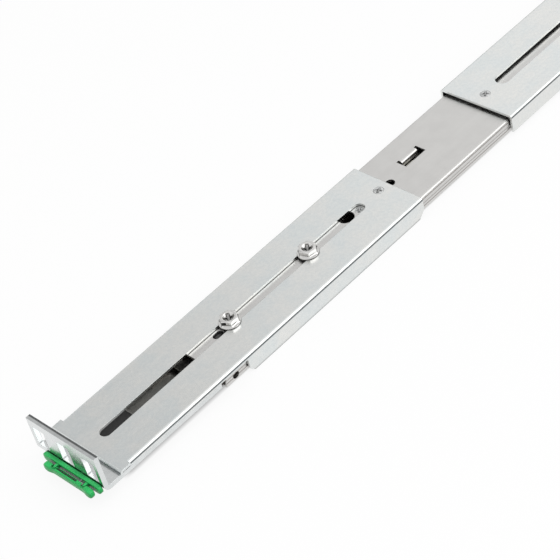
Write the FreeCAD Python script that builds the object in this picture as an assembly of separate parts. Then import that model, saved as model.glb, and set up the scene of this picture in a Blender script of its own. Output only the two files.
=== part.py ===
"""Telescopic rack rail, one unit high, for hanging a server in a 19 inch rack.

The rail lies on its server side.  X runs along the rail from the front rack
post to the rear one, Y runs up the rack and Z points out of the server towards
the side of the rack.  The origin is in the front flange's outer face, at the
middle of its middle window.

A rolled slide of three members carries the server on two stages of balls.  A
folded front bracket and a folded rear bracket are screwed to its back through
long slots, so the rail fits racks of different depths.  A thick angle under
the front bracket makes the front flange, and a green catch is clipped to the
front of it.
"""
import FreeCAD, Part
import os
from math import atan2, cos, hypot, pi, sin, tan

V = FreeCAD.Vector

# ---------------------------------------------------------------- fits
RUN_GAP = 0.35          # side gap between the front bracket and the slide
REAR_RUN_GAP = 0.7      # and between the rear bracket and the slide
SEAT_GAP = 0.05         # gap round a ball, a pin or a screw shank
FACE_GAP = 0.2          # gap between flat parts that slide past each other
TURN_GAP = 0.3          # gap round an ear in the part that swings on it
CUT = 1.0               # how far a cutting tool runs past a face

# ---------------------------------------------------------------- rack holes
HOLE_PITCH = 15.875     # three holes to a rack unit
HOLE_COUNT = 3
WINDOW_WIDTH = 7.6
WINDOW_HEIGHT = 11.0
WINDOW_RISE = 6.0       # middle of the windows above the front bracket's web
FLANGE_RISE = 15.8      # top of both flanges above the front bracket's web

# ---------------------------------------------------------------- front bracket
BRACKET_SHEET = 1.2
BRACKET_BEND = 0.4      # inside radius of its bends
BRACKET_WIDTH = 43.7
BRACKET_FRONT = 9.0     # from the flange face to the web's front edge
BRACKET_LENGTH = 198.0
BRACKET_DEPTH = 10.3    # of the tall side walls, over the web's outer face
WALL_AFTER = 78.6       # where the tall side walls begin, behind the web's front edge
LIP_DEPTH = 2.3         # of the low lips ahead of them
TAB_LENGTH = 6.2        # flat end of the web ahead of the lips
TAB_OVERHANG = 0.75     # by which it is wider than the channel, at each side
WALL_FRONT_CHAMFER = 2.5
WALL_REAR_CHAMFER = 4.0
FRONT_SLOT_AFTER = 9.7  # slot's front end behind the web's front edge
FRONT_SLOT_FROM_END = 17.3  # its rear end ahead of the web's rear end
FRONT_SLOT_WIDTH = 6.0
GUIDE_RADIUS = 2.6
GUIDE_FROM_END = 6.2

# ---------------------------------------------------------------- flange angle
ANGLE_SHEET = 2.4
ANGLE_BEND = 0.9
ANGLE_ARM_LENGTH = 61.6     # behind the web's front edge
ANGLE_ARM_WIDTH = 4.4
ANGLE_CROSS_LENGTH = 8.5    # solid stretch under the web ahead of the fork
ANGLE_ARM_RADIUS = 1.8

# ---------------------------------------------------------------- slide
SLIDE_SHEET = 1.2
SLIDE_BEND = 0.3
SLIDE_AFTER_ARMS = 4.0  # slide's front end behind the angle's arms
SLIDE_LENGTH = 560.0
STEP_DEPTH = 3.9        # where the side wall steps in to make the ball track
STEP_IN = 0.5
ROW_UNDER_STEP = 1.2    # outer ball centres under the foot of the step
LIP_WIDTH = 2.6         # foot of the wall, turned in under the balls
BALL_RADIUS = 1.3
ROW_STAGGER = 1.3       # inner ball centres under the outer ones
TRACK_GROOVE = 0.3      # depth of the ball tracks rolled into the side walls
BEAD_TRACK = 0.35       # and into the middle member's beads
BEAD_WIDTH = 3.0
BEAD_LAND = 0.35        # flat left over the outer balls' groove
BEAD_FOOT = 0.25        # flat left under the inner balls' groove
BEAD_ROUND = 0.5        # outer corners of the bead
BEAD_FILLET = 0.3       # where the bead meets the web
MIDDLE_WEB = 1.0
MIDDLE_AHEAD = 6.5      # middle member's front end ahead of the slide's
BUMPER_LENGTH = 15.3
BUMPER_FROM_END = 1.0
BUMPER_CHAMFER = 1.0
CHASSIS_SHEET = 1.2
CHASSIS_AHEAD = 34.5
CHASSIS_SHORT = 7.0     # its rear end ahead of the middle member's
CHASSIS_HEIGHT = 3.0    # of its side walls over its outer face
CAGE_SHEET = 0.4
CAGE_BEND = 0.04
CAGE_BORDER = 0.4       # strip left under the ball holes
CAGE_CLEAR = 0.25       # inner cage's foot above the chassis member's outer face
BRIDGE_LENGTH = 14.0
BRIDGE_SIDE = 1.2       # bridge left beside each strip along the middle
BALLS_PER_ROW = 5
BALL_BANDS = 5          # flat facets round each ball, from pole to pole
BALL_SIDES = 8
CAGE_END = 9.0          # from a cage's end to its first ball
OUTER_CAGE_AFTER = 141.4    # behind the slide's front end
OUTER_CAGE_LENGTH = 240.0
INNER_CAGE_AFTER = 135.4
INNER_CAGE_LENGTH = 235.0

# ---------------------------------------------------------------- cut-outs in the slide's back
PROBE_AFTER = 13.6      # oblong hole, from the slide's front end
PROBE_LENGTH = 5.8
PROBE_WIDTH = 3.6
ROUND_HOLE_AFTER = 105.0    # large hole near the bracket slot's end
ROUND_HOLE_Y = 2.2
ROUND_HOLE_RADIUS = 4.2
SMALL_HOLE_AFTER = 134.3
SMALL_HOLE_RADIUS = 2.4
TAB_WINDOW_AFTER = 147.2
TAB_WINDOW_LENGTH = 14.2
TAB_WINDOW_NEAR = 0.9
TAB_WINDOW_WIDTH = 5.1
TAB_RELIEF = 1.5        # notch at each end of the tab's fold
TAB_DROP = 2.6
SIDE_HOLE_AFTER = 6.0
SIDE_HOLE_DROP = 5.2
SIDE_HOLE_RADIUS = 1.9
RIVET_AFTER = 112.0
RIVET_RADIUS = 1.7
RIVET_FOOT_RADIUS = 2.3
RIVET_FOOT_HEIGHT = 0.8

# ---------------------------------------------------------------- members' cut-outs
MIDDLE_HOLE_COUNT = 3
MIDDLE_HOLE_LENGTH = 60.0
MIDDLE_HOLE_WIDTH = 12.0
KEYHOLE_COUNT = 3
KEYHOLE_FROM_END = 30.0
KEYHOLE_RADIUS = 4.3
KEYHOLE_NECK = 2.3
KEYHOLE_RUN = 12.0
CHASSIS_SCREW_RADIUS = 2.1
CHASSIS_SCREW_AFTER = 60.0
CHASSIS_NOSE = 16.0     # flat front end without side walls
LOCK_PIVOT_AFTER = 215.0
LOCK_PIVOT_RADIUS = 1.5
LOCK_PIVOT_HEAD = 0.9   # by which its head is wider
LOCK_HEAD_HEIGHT = 0.4
LOCK_CLEAR = 0.2
LOCK_THICKNESS = 0.8
LOCK_TAIL = 5.0
LOCK_LENGTH = 52.0
LOCK_HALF = 3.0
LOCK_TIP_LENGTH = 8.0
LOCK_TIP_HALF = 1.5
LOCK_TAIL_CHAMFER = 1.5
LOCK_KNOB_AFTER = 34.0
LOCK_KNOB_RADIUS = 2.0
LOCK_KNOB_CLEAR = 0.6
LOCK_SWAY = 3.0

# ---------------------------------------------------------------- rear bracket
REAR_SHEET = 1.2
REAR_RISE = 1.25        # its web's outer face above the front bracket's
REAR_DEPTH = 9.65
REAR_AFTER = 198.8      # its front edge behind the slide's front end
REAR_LENGTH = 382.0
REAR_SLOT_AFTER = 17.6
REAR_SLOT_LENGTH = 269.0
REAR_SLOT_WIDTH = 7.6
REAR_GUIDE_AFTER = 7.7
REAR_WINDOW_LOW = -3.0  # foot of the rear windows, clear of the fold
REAR_WALL_SHORT = 6.0   # side walls stop this far ahead of the rear flange

# ---------------------------------------------------------------- screws
SHANK_RADIUS = 2.5
HEX_ACROSS = 8.0
HEX_HEIGHT = 3.4
COLLAR_RADIUS = 5.3
COLLAR_HEIGHT = 1.1
COLLAR_DRAFT = 0.5
FRONT_SCREW_AFTER = 24.4    # first front screw behind the slide's front end
FRONT_SCREW_SPACING = 52.4
REAR_SCREW_AFTER = 395.4
REAR_SCREW_SPACING = 52.4
NUT_BAR_WIDTH = 13.0
NUT_BAR_END = 10.0
NUT_BAR_THICKNESS = 1.9
STRIP_CHAMFER = 2.0
SPACER_WIDTH = 22.0
SPACER_END = 15.0

# ---------------------------------------------------------------- catch
CATCH_TOP = 0.5         # under the front bracket's web
CATCH_HEIGHT = 4.4
BASE_LEFT = 16.0        # end towards +Y
BASE_RIGHT = -21.3
BASE_THICKNESS = 2.4
LEVER_LEFT = 11.4
LEVER_RIGHT = -19.8
LEVER_THICKNESS = 3.0
LEVER_GROOVE = 1.0      # between base and lever
PIN_RADIUS = 0.7
PIN_BEHIND = 0.6        # axis behind the lever's rear face, towards its front
PIN_DROP = 1.7          # axis under the catch's top
PIN_END = 0.9           # by which it stands out of each ear
EAR_THICKNESS = 1.6
EAR_RADIUS = 1.2
EAR_SPACING = 19.0
EAR_MIDDLE = -4.1
SPRING_WIRE = 0.5
SPRING_LEG_RADIUS = 0.2
SPRING_LENGTH = 2.5     # of its coil, drawn as a plain sleeve
STUD_WIDTH = 1.6        # square studs that hold the base in the flange
STUD_DROP = 1.1         # their middle under the catch's top


# ================================================================ helpers
SAME_POINT = 1e-6


def unit(a, b):
    """Direction from a to b, as a vector of length one."""
    size = hypot(b[0] - a[0], b[1] - a[1])
    return (b[0] - a[0]) / size, (b[1] - a[1]) / size


def shift(point, direction, amount):
    return point[0] + direction[0] * amount, point[1] + direction[1] * amount


def corner(before, point, after, radius):
    """Start, middle, end, centre and turn of the arc that rounds a corner."""
    way_in = unit(before, point)
    way_out = unit(point, after)
    turn = atan2(way_in[0] * way_out[1] - way_in[1] * way_out[0],
                 way_in[0] * way_out[0] + way_in[1] * way_out[1])
    back = radius * tan(abs(turn) / 2)
    hand = 1 if turn > 0 else -1
    centre = shift(shift(point, way_in, -back), (-way_in[1], way_in[0]), hand * radius)
    return way_in, way_out, back, hand, centre


def strip_side(points, offset, radius, to_3d):
    """Edges of one face of a bent strip, offset from its middle line."""
    edges = []
    first = unit(points[0], points[1])
    start = shift(points[0], (-first[1], first[0]), offset)
    for before, point, after in zip(points, points[1:], points[2:]):
        way_in, way_out, back, hand, centre = corner(before, point, after, radius)
        arc_in = shift(shift(point, way_in, -back), (-way_in[1], way_in[0]), offset)
        arc_out = shift(shift(point, way_out, back), (-way_out[1], way_out[0]), offset)
        arc_mid = shift(centre, unit(centre, point), radius - hand * offset)
        edges.append(Part.makeLine(to_3d(*start), to_3d(*arc_in)))
        edges.append(Part.Arc(to_3d(*arc_in), to_3d(*arc_mid), to_3d(*arc_out)).toShape())
        start = arc_out
    last = unit(points[-2], points[-1])
    end = shift(points[-1], (-last[1], last[0]), offset)
    edges.append(Part.makeLine(to_3d(*start), to_3d(*end)))
    return edges, to_3d(*end)


def bent_strip(points, sheet, inside, to_3d):
    """Face of a bent sheet whose middle line runs through the points."""
    radius = inside + sheet / 2
    left, left_end = strip_side(points, sheet / 2, radius, to_3d)
    right, right_end = strip_side(points, -sheet / 2, radius, to_3d)
    caps = [Part.makeLine(left_end, right_end),
            Part.makeLine(left[0].Vertexes[0].Point, right[0].Vertexes[0].Point)]
    edges = left + right + caps
    return Part.Face(Part.Wire(Part.__sortEdges__(edges)))


def rounded_face(points, radii, to_3d):
    """Face inside a closed outline whose corners have the radii given."""
    edges = []
    count = len(points)
    ends = []
    for i in range(count):
        before, point, after = points[i - 1], points[i], points[(i + 1) % count]
        if radii[i] == 0:
            ends.append((point, point))
            continue
        way_in, way_out, back, hand, centre = corner(before, point, after, radii[i])
        arc_in = shift(point, way_in, -back)
        arc_out = shift(point, way_out, back)
        arc_mid = shift(centre, unit(centre, point), radii[i])
        edges.append(Part.Arc(to_3d(*arc_in), to_3d(*arc_mid), to_3d(*arc_out)).toShape())
        ends.append((arc_in, arc_out))
    for i in range(count):
        leave = ends[i][1]
        arrive = ends[(i + 1) % count][0]
        if hypot(leave[0] - arrive[0], leave[1] - arrive[1]) > SAME_POINT:
            edges.append(Part.makeLine(to_3d(*leave), to_3d(*arrive)))
    return Part.Face(Part.Wire(Part.__sortEdges__(edges)))


def box(x0, x1, y0, y1, z0, z1):
    return Part.makeBox(x1 - x0, y1 - y0, z1 - z0, V(x0, y0, z0))


def post(x, y, radius, z0, z1):
    """Round bar standing along Z."""
    return Part.makeCylinder(radius, z1 - z0, V(x, y, z0))


def bar(x, z, radius, y0, y1):
    """Round bar lying along Y."""
    return Part.makeCylinder(radius, y1 - y0, V(x, y0, z), V(0, 1, 0))


def slot(x0, x1, width, z0, z1):
    """Round-ended bar along X, for cutting a slot from z0 to z1."""
    r = width / 2
    body = box(x0 + r, x1 - r, -r, r, z0, z1)
    return body.fuse(post(x0 + r, 0, r, z0, z1)).fuse(post(x1 - r, 0, r, z0, z1))


def slot_across(x, radius, reach, z0, z1):
    """Round-ended bar along Y."""
    body = box(x - radius, x + radius, -reach, reach, z0, z1)
    return body.fuse(post(x, -reach, radius, z0, z1)).fuse(post(x, reach, radius, z0, z1))


def level_plate(outline, radii, z0, z1):
    """Plate lying level, from the corners of its outline and their radii."""
    return rounded_face(outline, radii, lambda x, y: V(x, y, z0)).extrude(V(0, 0, z1 - z0))


def chamfered_plate(x0, x1, half_width, chamfer, z0, z1):
    """Level plate, centred across the rail, with its four corners cut off."""
    side = half_width - chamfer
    outline = [(x0, -side), (x0 + chamfer, -half_width), (x1 - chamfer, -half_width), (x1, -side),
               (x1, side), (x1 - chamfer, half_width), (x0 + chamfer, half_width), (x0, side)]
    return level_plate(outline, [0] * len(outline), z0, z1)


def across_plate(outline, width):
    """Block across the rail, from its outline in X and Z."""
    face = rounded_face(outline, [0] * len(outline), lambda x, z: V(x, -width / 2, z))
    return face.extrude(V(0, width, 0))


def oval(y0, y1, z0, z1, x0, x1):
    """Plate across X whose outline in Y and Z has half-round ends."""
    r = (z1 - z0) / 2
    z = (z0 + z1) / 2
    body = box(x0, x1, y0 + r, y1 - r, z0, z1)
    for y in (y0 + r, y1 - r):
        body = body.fuse(Part.makeCylinder(r, x1 - x0, V(x0, y, z), V(1, 0, 0)))
    return body.removeSplitter()


def mirrored(half):
    """A half outline given from the middle outwards, made whole across Y."""
    return [(-y, z) for y, z in reversed(half)] + list(half)


def save(name, solids):
    """Write one node: a single solid, or a group of separate solids."""
    shape = solids if isinstance(solids, Part.Shape) else Part.makeCompound(solids)
    for solid in shape.Solids:
        assert solid.isValid(), name
    shape.exportStep("parts/" + name + ".step")


# ================================================================ levels and rows
WEB_TOP = -WINDOW_RISE
FLANGE_TOP = WEB_TOP + FLANGE_RISE
WEB_UNDER = WEB_TOP - BRACKET_SHEET
BRACKET_FOOT = WEB_TOP - BRACKET_DEPTH
ANGLE_TOP = WEB_TOP - LIP_DEPTH
ANGLE_UNDER = ANGLE_TOP - ANGLE_SHEET
REAR_TOP = WEB_TOP + REAR_RISE
REAR_UNDER = REAR_TOP - REAR_SHEET

BALL_ROOM = BALL_RADIUS + SEAT_GAP
SLIDE_TOP = WEB_UNDER - FACE_GAP
SLIDE_UNDER = SLIDE_TOP - SLIDE_SHEET
OUTER_ROW_Z = SLIDE_TOP - STEP_DEPTH - STEP_IN - ROW_UNDER_STEP
INNER_ROW_Z = OUTER_ROW_Z - ROW_STAGGER
SLIDE_FOOT = OUTER_ROW_Z - BALL_ROOM - CAGE_BORDER - SEAT_GAP - SLIDE_SHEET
MIDDLE_TOP = OUTER_ROW_Z + BALL_ROOM + BEAD_LAND
MIDDLE_FOOT = INNER_ROW_Z - BALL_ROOM - BEAD_FOOT
CHASSIS_FOOT = INNER_ROW_Z - BALL_ROOM - CAGE_BORDER - CAGE_CLEAR

SLIDE_HALF = BRACKET_WIDTH / 2 - BRACKET_SHEET - RUN_GAP
REAR_HALF = SLIDE_HALF + REAR_RUN_GAP + REAR_SHEET
TRACK_FACE = SLIDE_HALF - STEP_IN - SLIDE_SHEET
OUTER_ROW_Y = TRACK_FACE - BALL_ROOM + TRACK_GROOVE
BEAD_OUT = OUTER_ROW_Y - BALL_ROOM + BEAD_TRACK
INNER_ROW_Y = BEAD_OUT - BEAD_WIDTH - BALL_ROOM + BEAD_TRACK
CHASSIS_HALF = INNER_ROW_Y - BALL_ROOM + TRACK_GROOVE

BRACKET_END = BRACKET_FRONT + BRACKET_LENGTH
FRONT_GUIDE_X = BRACKET_END - GUIDE_FROM_END
ARMS_END = BRACKET_FRONT + ANGLE_ARM_LENGTH
SLIDE_START = ARMS_END + SLIDE_AFTER_ARMS
SLIDE_END = SLIDE_START + SLIDE_LENGTH
BUMPER_START = SLIDE_END - BUMPER_FROM_END - BUMPER_LENGTH
MIDDLE_START = SLIDE_START - MIDDLE_AHEAD
MIDDLE_END = BUMPER_START - FACE_GAP
MIDDLE_LENGTH = MIDDLE_END - MIDDLE_START
CHASSIS_START = SLIDE_START - CHASSIS_AHEAD
CHASSIS_END = MIDDLE_END - CHASSIS_SHORT
CHASSIS_LENGTH = CHASSIS_END - CHASSIS_START
OUTER_CAGE_START = SLIDE_START + OUTER_CAGE_AFTER
INNER_CAGE_START = SLIDE_START + INNER_CAGE_AFTER
RIVET_X = SLIDE_START + RIVET_AFTER
LOCK_X = CHASSIS_START + LOCK_PIVOT_AFTER
LOCK_UNDER = CHASSIS_FOOT + CHASSIS_SHEET + LOCK_CLEAR
LOCK_TOP = LOCK_UNDER + LOCK_THICKNESS
REAR_START = SLIDE_START + REAR_AFTER
REAR_END = REAR_START + REAR_LENGTH
REAR_GUIDE_X = REAR_START + REAR_GUIDE_AFTER
FRONT_SCREW_X = SLIDE_START + FRONT_SCREW_AFTER
REAR_SCREW_X = SLIDE_START + REAR_SCREW_AFTER

LEVER_BACK = -BASE_THICKNESS - LEVER_GROOVE
LEVER_FRONT = LEVER_BACK - LEVER_THICKNESS
PIN_X = LEVER_BACK - PIN_BEHIND
CATCH_HIGH = WEB_TOP - CATCH_TOP
CATCH_LOW = CATCH_HIGH - CATCH_HEIGHT
PIN_Z = CATCH_HIGH - PIN_DROP


def hole_rows():
    """Y of the rack holes, with the middle one at nought."""
    middle = (HOLE_COUNT - 1) / 2
    return [(i - middle) * HOLE_PITCH for i in range(HOLE_COUNT)]


def ear_rows():
    return [EAR_MIDDLE + hand * EAR_SPACING / 2 for hand in (-1, 1)]


def stud_rows():
    """Y of the studs, midway between the rack holes."""
    rows = hole_rows()
    return [(low + high) / 2 for low, high in zip(rows, rows[1:])]


def front_screw_rows():
    return [FRONT_SCREW_X, FRONT_SCREW_X + FRONT_SCREW_SPACING]


def rear_screw_rows():
    return [REAR_SCREW_X, REAR_SCREW_X + REAR_SCREW_SPACING]


def middle_holes():
    """Front ends of the oblong access holes along the middle member's web."""
    step = MIDDLE_LENGTH / MIDDLE_HOLE_COUNT
    first = MIDDLE_START + (step - MIDDLE_HOLE_LENGTH) / 2
    return [first + i * step for i in range(MIDDLE_HOLE_COUNT)]


def keyhole_rows():
    step = (CHASSIS_LENGTH - 2 * KEYHOLE_FROM_END) / (KEYHOLE_COUNT - 1)
    return [CHASSIS_START + KEYHOLE_FROM_END + i * step for i in range(KEYHOLE_COUNT)]


def chassis_screw_rows():
    return [x + CHASSIS_SCREW_AFTER for x in keyhole_rows()[:-1]]


def ball_places(start, length):
    step = (length - 2 * CAGE_END) / (BALLS_PER_ROW - 1)
    return [start + CAGE_END + i * step for i in range(BALLS_PER_ROW)]


# ================================================================ front bracket
def front_bracket():
    """Folded channel: low lips in front, tall walls behind, one long slot."""
    half = BRACKET_SHEET / 2
    side = BRACKET_WIDTH / 2 - half
    lips_start = BRACKET_FRONT + TAB_LENGTH
    walls_start = BRACKET_FRONT + WALL_AFTER
    path = mirrored([(side, WEB_TOP - half), (side, BRACKET_FOOT)])
    face = bent_strip(path, BRACKET_SHEET, BRACKET_BEND, lambda y, z: V(lips_start, y, z))
    body = face.extrude(V(BRACKET_END - lips_start, 0, 0))

    low = BRACKET_FOOT - CUT
    chamfer = WALL_FRONT_CHAMFER
    under_lips = [(lips_start - CUT, ANGLE_TOP), (walls_start, ANGLE_TOP),
                  (walls_start, BRACKET_FOOT + chamfer), (walls_start + chamfer, BRACKET_FOOT),
                  (walls_start + chamfer, low), (lips_start - CUT, low)]
    chamfer = WALL_REAR_CHAMFER
    heel = [(BRACKET_END - chamfer, BRACKET_FOOT), (BRACKET_END, BRACKET_FOOT + chamfer),
            (BRACKET_END + CUT, BRACKET_FOOT + chamfer), (BRACKET_END + CUT, low),
            (BRACKET_END - chamfer, low)]
    for outline in (under_lips, heel):
        body = body.cut(across_plate(outline, BRACKET_WIDTH + 2 * CUT))

    tab_width = BRACKET_WIDTH + 2 * TAB_OVERHANG
    tab = [(lips_start, WEB_TOP - half), (BRACKET_FRONT + half, WEB_TOP - half),
           (BRACKET_FRONT + half, ANGLE_TOP)]
    nose = bent_strip(tab, BRACKET_SHEET, BRACKET_BEND, lambda x, z: V(x, -tab_width / 2, z))
    body = body.fuse(nose.extrude(V(0, tab_width, 0)))

    slot_start = BRACKET_FRONT + FRONT_SLOT_AFTER
    slot_end = BRACKET_END - FRONT_SLOT_FROM_END
    low = WEB_UNDER - CUT
    high = WEB_TOP + CUT
    body = body.cut(slot(slot_start, slot_end, FRONT_SLOT_WIDTH, low, high))
    return body.cut(post(FRONT_GUIDE_X, 0, GUIDE_RADIUS, low, high)).removeSplitter()


def front_guide_button():
    """Button riveted in the web that keeps bracket and slide apart."""
    return post(FRONT_GUIDE_X, 0, GUIDE_RADIUS, SLIDE_TOP + SEAT_GAP, WEB_TOP)


def flange_angle():
    """Thick forked angle under the front bracket, with three rack windows."""
    half = ANGLE_SHEET / 2
    path = [(ARMS_END, ANGLE_TOP - half), (half, ANGLE_TOP - half), (half, FLANGE_TOP)]
    face = bent_strip(path, ANGLE_SHEET, ANGLE_BEND, lambda x, z: V(x, -BRACKET_WIDTH / 2, z))
    body = face.extrude(V(0, BRACKET_WIDTH, 0))

    fork = BRACKET_WIDTH / 2 - ANGLE_ARM_WIDTH
    mouth = BRACKET_FRONT + ANGLE_CROSS_LENGTH
    opening = [(mouth, -fork), (ARMS_END + CUT, -fork), (ARMS_END + CUT, fork), (mouth, fork)]
    radii = [ANGLE_ARM_RADIUS, 0, 0, ANGLE_ARM_RADIUS]
    body = body.cut(level_plate(opening, radii, ANGLE_UNDER - CUT, ANGLE_TOP + CUT))
    for y in hole_rows():
        body = body.cut(window(-CUT, ANGLE_SHEET + CUT, y, -WINDOW_HEIGHT / 2, WINDOW_HEIGHT / 2))
    for y in stud_rows():
        body = body.cut(stud(y, -CUT, ANGLE_SHEET + CUT, STUD_WIDTH + 2 * SEAT_GAP))
    return body.removeSplitter()


def window(x0, x1, y, z0, z1):
    """Rack window cut through a flange."""
    return box(x0, x1, y - WINDOW_WIDTH / 2, y + WINDOW_WIDTH / 2, z0, z1)


# ================================================================ catch
def catch_base():
    """Plate clipped to the flange, with two ears for the pin."""
    body = oval(BASE_RIGHT, BASE_LEFT, CATCH_LOW, CATCH_HIGH, -BASE_THICKNESS, 0)
    for y in ear_rows():
        y0 = y - EAR_THICKNESS / 2
        y1 = y + EAR_THICKNESS / 2
        ear = box(PIN_X, -BASE_THICKNESS, y0, y1, PIN_Z - EAR_RADIUS, PIN_Z + EAR_RADIUS)
        body = body.fuse(ear).fuse(bar(PIN_X, PIN_Z, EAR_RADIUS, y0, y1))
        body = body.cut(bar(PIN_X, PIN_Z, PIN_RADIUS + SEAT_GAP / 2, y0 - CUT, y1 + CUT))
    for y in stud_rows():
        body = body.fuse(stud(y, -BASE_THICKNESS / 2, ANGLE_SHEET, STUD_WIDTH))
    return body.removeSplitter()


def stud(y, x0, x1, width):
    """Square stud between base and flange, or the hole for it."""
    z = CATCH_HIGH - STUD_DROP
    return box(x0, x1, y - width / 2, y + width / 2, z - width / 2, z + width / 2)


def catch_lever():
    """Finger bar that swings on the pin."""
    body = oval(LEVER_RIGHT, LEVER_LEFT, CATCH_LOW, CATCH_HIGH, LEVER_FRONT, LEVER_BACK)
    low = CATCH_LOW - CUT
    high = CATCH_HIGH + CUT
    for y in ear_rows():
        gap = EAR_THICKNESS / 2 + TURN_GAP
        notch = box(PIN_X - EAR_RADIUS - TURN_GAP, LEVER_BACK + CUT, y - gap, y + gap, low, high)
        body = body.cut(notch)
    spring_low, spring_high = spring_room()
    around = PIN_RADIUS + SPRING_WIRE + 2 * SEAT_GAP
    body = body.cut(box(PIN_X - around, LEVER_BACK + CUT, spring_low, spring_high, low, high))
    show = PIN_RADIUS + FACE_GAP
    view_end = ear_rows()[1] - EAR_THICKNESS - TURN_GAP
    body = body.cut(box(PIN_X - show, PIN_X + show, spring_high, view_end, PIN_Z, high))
    return body.cut(bar(PIN_X, PIN_Z, PIN_RADIUS + SEAT_GAP, LEVER_RIGHT - CUT, LEVER_LEFT + CUT))


def spring_room():
    """Ends of the recess in the lever that the spring sits in."""
    low = ear_rows()[0] + EAR_THICKNESS / 2
    return low, low + SPRING_LENGTH + 2 * SEAT_GAP


def catch_spring():
    """Coil of the torsion spring on the pin, with a leg against the base."""
    wire = SPRING_WIRE / 2
    inner = PIN_RADIUS + SEAT_GAP
    low = spring_room()[0] + SEAT_GAP
    high = low + SPRING_LENGTH
    coil = bar(PIN_X, PIN_Z, inner + SPRING_WIRE, low, high)
    leg = V(PIN_X, low + wire, PIN_Z + inner + wire)
    coil = coil.fuse(Part.makeCylinder(SPRING_LEG_RADIUS, -BASE_THICKNESS - PIN_X, leg, V(1, 0, 0)))
    return coil.cut(bar(PIN_X, PIN_Z, inner, low - CUT, high + CUT)).removeSplitter()


def catch_pin():
    """Pin through both ears and the lever."""
    low, high = ear_rows()
    end = EAR_THICKNESS / 2 + PIN_END
    return bar(PIN_X, PIN_Z, PIN_RADIUS, low - end, high + end)


# ================================================================ slide
def slide_outer():
    """Rolled outer member with its stepped ball tracks and web cut-outs."""
    half = SLIDE_SHEET / 2
    side = SLIDE_HALF - half
    track = side - STEP_IN
    path = mirrored([(side, SLIDE_TOP - half), (side, SLIDE_TOP - STEP_DEPTH + STEP_IN),
                     (track, SLIDE_TOP - STEP_DEPTH - STEP_IN), (track, SLIDE_FOOT + half),
                     (track + half - LIP_WIDTH, SLIDE_FOOT + half)])
    face = bent_strip(path, SLIDE_SHEET, SLIDE_BEND, lambda y, z: V(SLIDE_START, y, z))
    body = face.extrude(V(SLIDE_LENGTH, 0, 0))
    for cut in slide_back_cuts() + [slide_side_hole()]:
        body = body.cut(cut)
    for hand in (-1, 1):
        body = body.cut(ball_track(SLIDE_START, SLIDE_LENGTH, hand * OUTER_ROW_Y, OUTER_ROW_Z))
    return body.fuse(slide_tab()).removeSplitter()


def slide_back_cuts():
    """Everything that is punched through the slide's back."""
    low = SLIDE_UNDER - CUT
    high = SLIDE_TOP + CUT
    probe = SLIDE_START + PROBE_AFTER
    cuts = [slot(probe, probe + PROBE_LENGTH, PROBE_WIDTH, low, high),
            post(SLIDE_START + ROUND_HOLE_AFTER, ROUND_HOLE_Y, ROUND_HOLE_RADIUS, low, high),
            post(SLIDE_START + SMALL_HOLE_AFTER, 0, SMALL_HOLE_RADIUS, low, high),
            post(RIVET_X, 0, RIVET_RADIUS, low, high)]
    for x in front_screw_rows() + rear_screw_rows():
        cuts.append(post(x, 0, SHANK_RADIUS + SEAT_GAP, low, high))
    start = SLIDE_START + TAB_WINDOW_AFTER
    end = start + TAB_WINDOW_LENGTH
    far = TAB_WINDOW_NEAR + TAB_WINDOW_WIDTH
    cuts.append(box(start, end, TAB_WINDOW_NEAR, far, low, high))
    for x in (start, end - TAB_RELIEF):
        cuts.append(box(x, x + TAB_RELIEF, far, far + SLIDE_SHEET, low, high))
    return cuts


def slide_side_hole():
    """Round hole through the side wall near the slide's front end."""
    centre = V(SLIDE_START + SIDE_HOLE_AFTER, -SLIDE_HALF - CUT, SLIDE_TOP - SIDE_HOLE_DROP)
    return Part.makeCylinder(SIDE_HOLE_RADIUS, STEP_IN + SLIDE_SHEET + 2 * CUT, centre, V(0, 1, 0))


def slide_tab():
    """Tab folded down from the far edge of its window."""
    half = SLIDE_SHEET / 2
    far = TAB_WINDOW_NEAR + TAB_WINDOW_WIDTH
    start = SLIDE_START + TAB_WINDOW_AFTER + TAB_RELIEF
    bend = [(far + SLIDE_SHEET, SLIDE_TOP - half), (far - half, SLIDE_TOP - half),
            (far - half, SLIDE_TOP - TAB_DROP)]
    face = bent_strip(bend, SLIDE_SHEET, SLIDE_BEND, lambda y, z: V(start, y, z))
    return face.extrude(V(TAB_WINDOW_LENGTH - 2 * TAB_RELIEF, 0, 0))


def stop_rivet():
    """Flush rivet in the slide's back, with its low head inside it."""
    foot = SLIDE_UNDER - RIVET_FOOT_HEIGHT
    stem = post(RIVET_X, 0, RIVET_RADIUS, foot, SLIDE_TOP)
    return stem.fuse(post(RIVET_X, 0, RIVET_FOOT_RADIUS, foot, SLIDE_UNDER)).removeSplitter()


def ball_track(start, length, y, z):
    """Round groove that a row of balls runs in."""
    return Part.makeCylinder(BALL_ROOM, length + 2 * CUT, V(start - CUT, y, z), V(1, 0, 0))


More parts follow.
